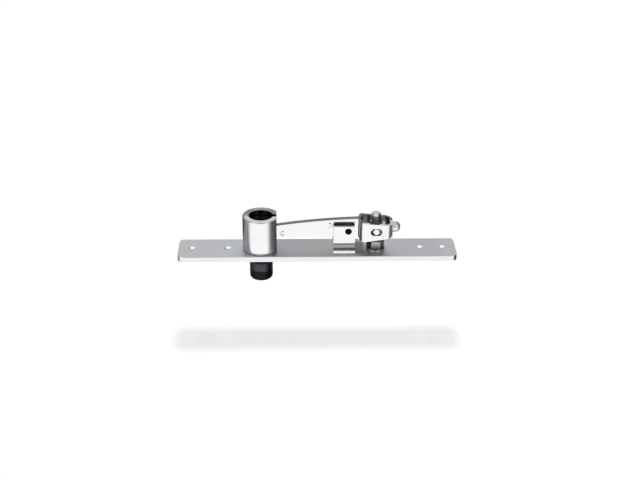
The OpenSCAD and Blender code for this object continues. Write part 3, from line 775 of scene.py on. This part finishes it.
class PIVOT_OT_screw(bpy.types.Operator):
    """Cut the thread of the adjusting screw, and finish the screw, nut, washer and trunnion"""
    bl_idname = "pivot.screw"
    bl_label = "Adjusting screw"

    def execute(self, context):
        s = context.scene.pivot_finish
        steel = plated_metal(
            "screw_steel", s.bright, s.steel_roughness, grain=(300, 300, 2400), mottle=0.05,
            darkened_by=thread_valleys, kept_light=0.16)
        points, faces = adjusting_screw_mesh(s.thread_pitch, s.thread_depth)
        stands_for(surface_piece("screw_threaded", points, faces, steel), "adjusting_screw")
        nut = plated_metal(
            "nut_plate", s.bright, s.bright_roughness, grain=(200, 200, 1300), mottle=0.05,
            darkened_by=everywhere, kept_light=0.45)
        for node in ("retaining_nut", "thrust_washer", "nut_pin"):
            dress(node, nut)
        dress("trunnion", plated_metal(
            "trunnion_steel", s.bright, s.steel_roughness, grain=(1300, 60, 1300), mottle=0.05,
            darkened_by=trunnion_painted_shade, kept_light=0.3))
        return {"FINISHED"}


class PIVOT_OT_lock_screw(bpy.types.Operator):
    """Cut the thread and the socket of the lock screw in the yoke's end"""
    bl_idname = "pivot.lock_screw"
    bl_label = "Lock screw"

    def execute(self, context):
        s = context.scene.pivot_finish
        pale = [1.1 * c for c in s.bright]
        plate = plated_metal(
            "lock_screw_plate", pale, s.lock_roughness, grain=(1500, 300, 300), mottle=0.05)
        points, faces = lock_screw_mesh(LOCK_PITCH, LOCK_DEPTH)
        stands_for(surface_piece("lock_screw_threaded", points, faces, plate), "lock_screw")
        return {"FINISHED"}


# ---------------------------------------------------------------- studio

# Light that metal sees below the horizon, by bearing from the front in degrees
LOW_LIGHT = (
    (-180, 0.60), (-165, 0.42), (-150, 0.20), (-133, 0.12), (-120, 0.17), (-108, 0.28), (-98, 0.38),
    (-89, 0.44), (-80, 0.54), (-70, 0.90), (-62, 1.06), (36, 1.06), (45, 0.88), (52, 0.60),
    (59, 0.34), (67, 0.19), (74, 0.11), (90, 0.06), (115, 0.05), (128, 0.14), (140, 0.34),
    (155, 0.62), (180, 0.60))
# Light that metal sees above the horizon, from the back (0) over the top (90) to the front (180)
HIGH_LIGHT = (
    (0, 0.42), (14, 0.46), (27, 0.65), (45, 0.68), (65, 0.56), (90, 0.64), (112, 0.72), (120, 0.72),
    (130, 0.42), (142, 0.12), (155, 0.05), (180, 0.07))
# Light from the studio's dark sides, light on anything that isn't metal, and the floor's colour
DARK_SIDE = (0.06, 0.06, 0.065, 1.0)
ROOM_LIGHT = (0.15, 0.15, 0.15, 1.0)
PAPER = (0.8, 0.8, 0.8, 1.0)
# Half of the floor's side in metres, and the light that it gives off to the camera
FLOOR_HALF = 3.0
FLOOR_GLOW = 0.68
# Beyond this distance from the hinge, in metres, the floor's glow grows by this much a metre
GLOW_NEAR, GLOW_GROWTH = 0.3, 0.2


def ray_is(g, kind):
    """1 for the rays of one kind, and 0 for all others."""
    return Value(g, g.node("ShaderNodeLightPath").outputs[f"Is {kind} Ray"])


def studio_world(world):
    """Soft studio: white to the camera; to metal a white front below, a dark front, a pale top.

    Above the horizon both sides are dark, with a white card on each side of the front.
    """
    g = Graph(world)
    x, y, z, _ = g.axes("Generated")
    bearing = x.angle_from(-y) / (2 * math.pi) + 0.5
    low = g.grey_scale(bearing, [(degrees / 360 + 0.5, shade) for degrees, shade in LOW_LIGHT])
    turn = z.angle_from(y) / math.pi
    high = g.grey_scale(turn, [(degrees / 180, shade) for degrees, shade in HIGH_LIGHT])
    left = (-x).ramp(0.12, 0.95) * 0.75
    right = x.ramp(0.12, 0.6) * 0.95
    high = g.mix(left.most(right), high, DARK_SIDE)
    cards = abs(x).between(0.24, 0.34, 0.72, 0.85) * (-y).ramp(0.2, 0.4)
    high = g.mix(cards, high, WHITE)
    reflected = g.mix(z.ramp(-0.02, 0.05), low, high)
    lit = g.mix(ray_is(g, "Glossy"), ROOM_LIGHT, reflected)
    shown = g.mix(ray_is(g, "Camera"), lit, WHITE)
    shader = g.node("ShaderNodeBackground", inputs={"Color": shown, "Strength": 1.0})
    g.finish(shader, "ShaderNodeOutputWorld")


def floor_material():
    """Pale floor, white to the camera except for the faint soft shadow under the hinge.

    The glow grows with the distance from the hinge, as much as the lamp's light falls off.
    """
    material = bpy.data.materials.new("studio_floor")
    g = Graph(material)
    x, y, _, _ = g.axes()
    glow = 1.0 + GLOW_GROWTH * (from_axis(x - PLATE_X, y) - GLOW_NEAR).most(0.0)
    glowing = g.node("ShaderNodeEmission", inputs={
        "Color": g.grey(glow), "Strength": ray_is(g, "Camera") * FLOOR_GLOW})
    paper = g.node("ShaderNodeBsdfDiffuse", inputs={"Color": PAPER})
    g.finish(g.node("ShaderNodeAddShader", inputs={0: glowing.outputs[0], 1: paper.outputs[0]}))
    return material


def lay_floor(s):
    """A large square floor under the hinge, which metal doesn't mirror."""
    half, level = FLOOR_HALF, PLATE_LOW.z - s.drop
    corners = [(-half, -half, level), (half, -half, level), (half, half, level), (-half, half, level)]
    mesh = bpy.data.meshes.new("studio_floor")
    mesh.from_pydata(corners, [], [(0, 1, 2, 3)])
    mesh.materials.append(floor_material())
    floor = bpy.data.objects.new("studio_floor", mesh)
    floor.visible_glossy = False
    bpy.context.scene.collection.objects.link(floor)


def hang_lamp(s):
    """An oval soft lamp over the plate's middle, a little to the left, which metal doesn't mirror."""
    lamp = bpy.data.lights.new("overhead_softbox", "AREA")
    lamp.shape = "ELLIPSE"
    lamp.size, lamp.size_y = s.lamp_width, s.lamp_depth
    lamp.energy = s.lamp_power
    holder = bpy.data.objects.new("overhead_softbox", lamp)
    holder.location = (PLATE_X - 6 * MM, 0.0, s.lamp_height)
    holder.visible_glossy = False
    bpy.context.scene.collection.objects.link(holder)


def set_camera(s):
    """The scene's camera, turned by its yaw, pitch and roll, and backed off from its aim."""
    forward = Vector((
        math.sin(s.yaw) * math.cos(s.pitch), math.cos(s.yaw) * math.cos(s.pitch), -math.sin(s.pitch)))
    right = Vector((math.cos(s.yaw), -math.sin(s.yaw), 0.0))
    up = right.cross(forward)
    tilted_right = math.cos(s.roll) * right + math.sin(s.roll) * up
    tilted_up = tilted_right.cross(forward)
    turned = Matrix((tilted_right, tilted_up, -forward)).transposed().to_4x4()
    lens = bpy.data.cameras.new("camera")
    lens.lens = s.lens
    lens.sensor_width = 36.0
    lens.shift_x, lens.shift_y = -s.shift, s.shift
    lens.clip_start, lens.clip_end = 0.01, 20.0
    camera = bpy.data.objects.new("camera", lens)
    camera.matrix_world = Matrix.Translation(Vector(s.aim) - forward * s.distance) @ turned
    bpy.context.scene.collection.objects.link(camera)
    bpy.context.scene.camera = camera


class PIVOT_OT_stage(bpy.types.Operator):
    """Lay the pale floor and set up the world, the soft lamp and the camera"""
    bl_idname = "pivot.stage"
    bl_label = "Studio"

    def execute(self, context):
        scene = context.scene
        lay_floor(scene.pivot_stage)
        scene.world = bpy.data.worlds.new("studio")
        studio_world(scene.world)
        hang_lamp(scene.pivot_stage)
        set_camera(scene.pivot_stage)
        scene.view_settings.view_transform = "Standard"
        return {"FINISHED"}


PIECES = (PIVOT_OT_plate, PIVOT_OT_housing, PIVOT_OT_pins, PIVOT_OT_beam, PIVOT_OT_bracket,
          PIVOT_OT_screw, PIVOT_OT_lock_screw, PIVOT_OT_stage)


class PIVOT_PT_panel(bpy.types.Panel):
    """Sizes, colours and pieces of the pivot"""
    bl_idname = "PIVOT_PT_panel"
    bl_label = "Pivot hinge"
    bl_space_type = "VIEW_3D"
    bl_region_type = "UI"
    bl_category = "Pivot"

    def draw(self, context):
        for group in (context.scene.pivot_finish, context.scene.pivot_stage):
            box = self.layout.box()
            for key in group.__annotations__:
                box.prop(group, key)
        for piece in PIECES:
            self.layout.operator(piece.bl_idname)


CLASSES = (PivotFinishSettings, PivotStageSettings) + PIECES + (PIVOT_PT_panel,)


def register():
    for cls in CLASSES:
        bpy.utils.register_class(cls)
    bpy.types.Scene.pivot_finish = PointerProperty(type=PivotFinishSettings)
    bpy.types.Scene.pivot_stage = PointerProperty(type=PivotStageSettings)


def unregister():
    del bpy.types.Scene.pivot_stage
    del bpy.types.Scene.pivot_finish
    for cls in reversed(CLASSES):
        bpy.utils.unregister_class(cls)


def main():
    """Registers the add-on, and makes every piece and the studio."""
    register()
    for piece in PIECES:
        family, name = piece.bl_idname.split(".")
        getattr(getattr(bpy.ops, family), name)()
    bpy.context.view_layer.update()


if __name__ == "__main__":
    main()
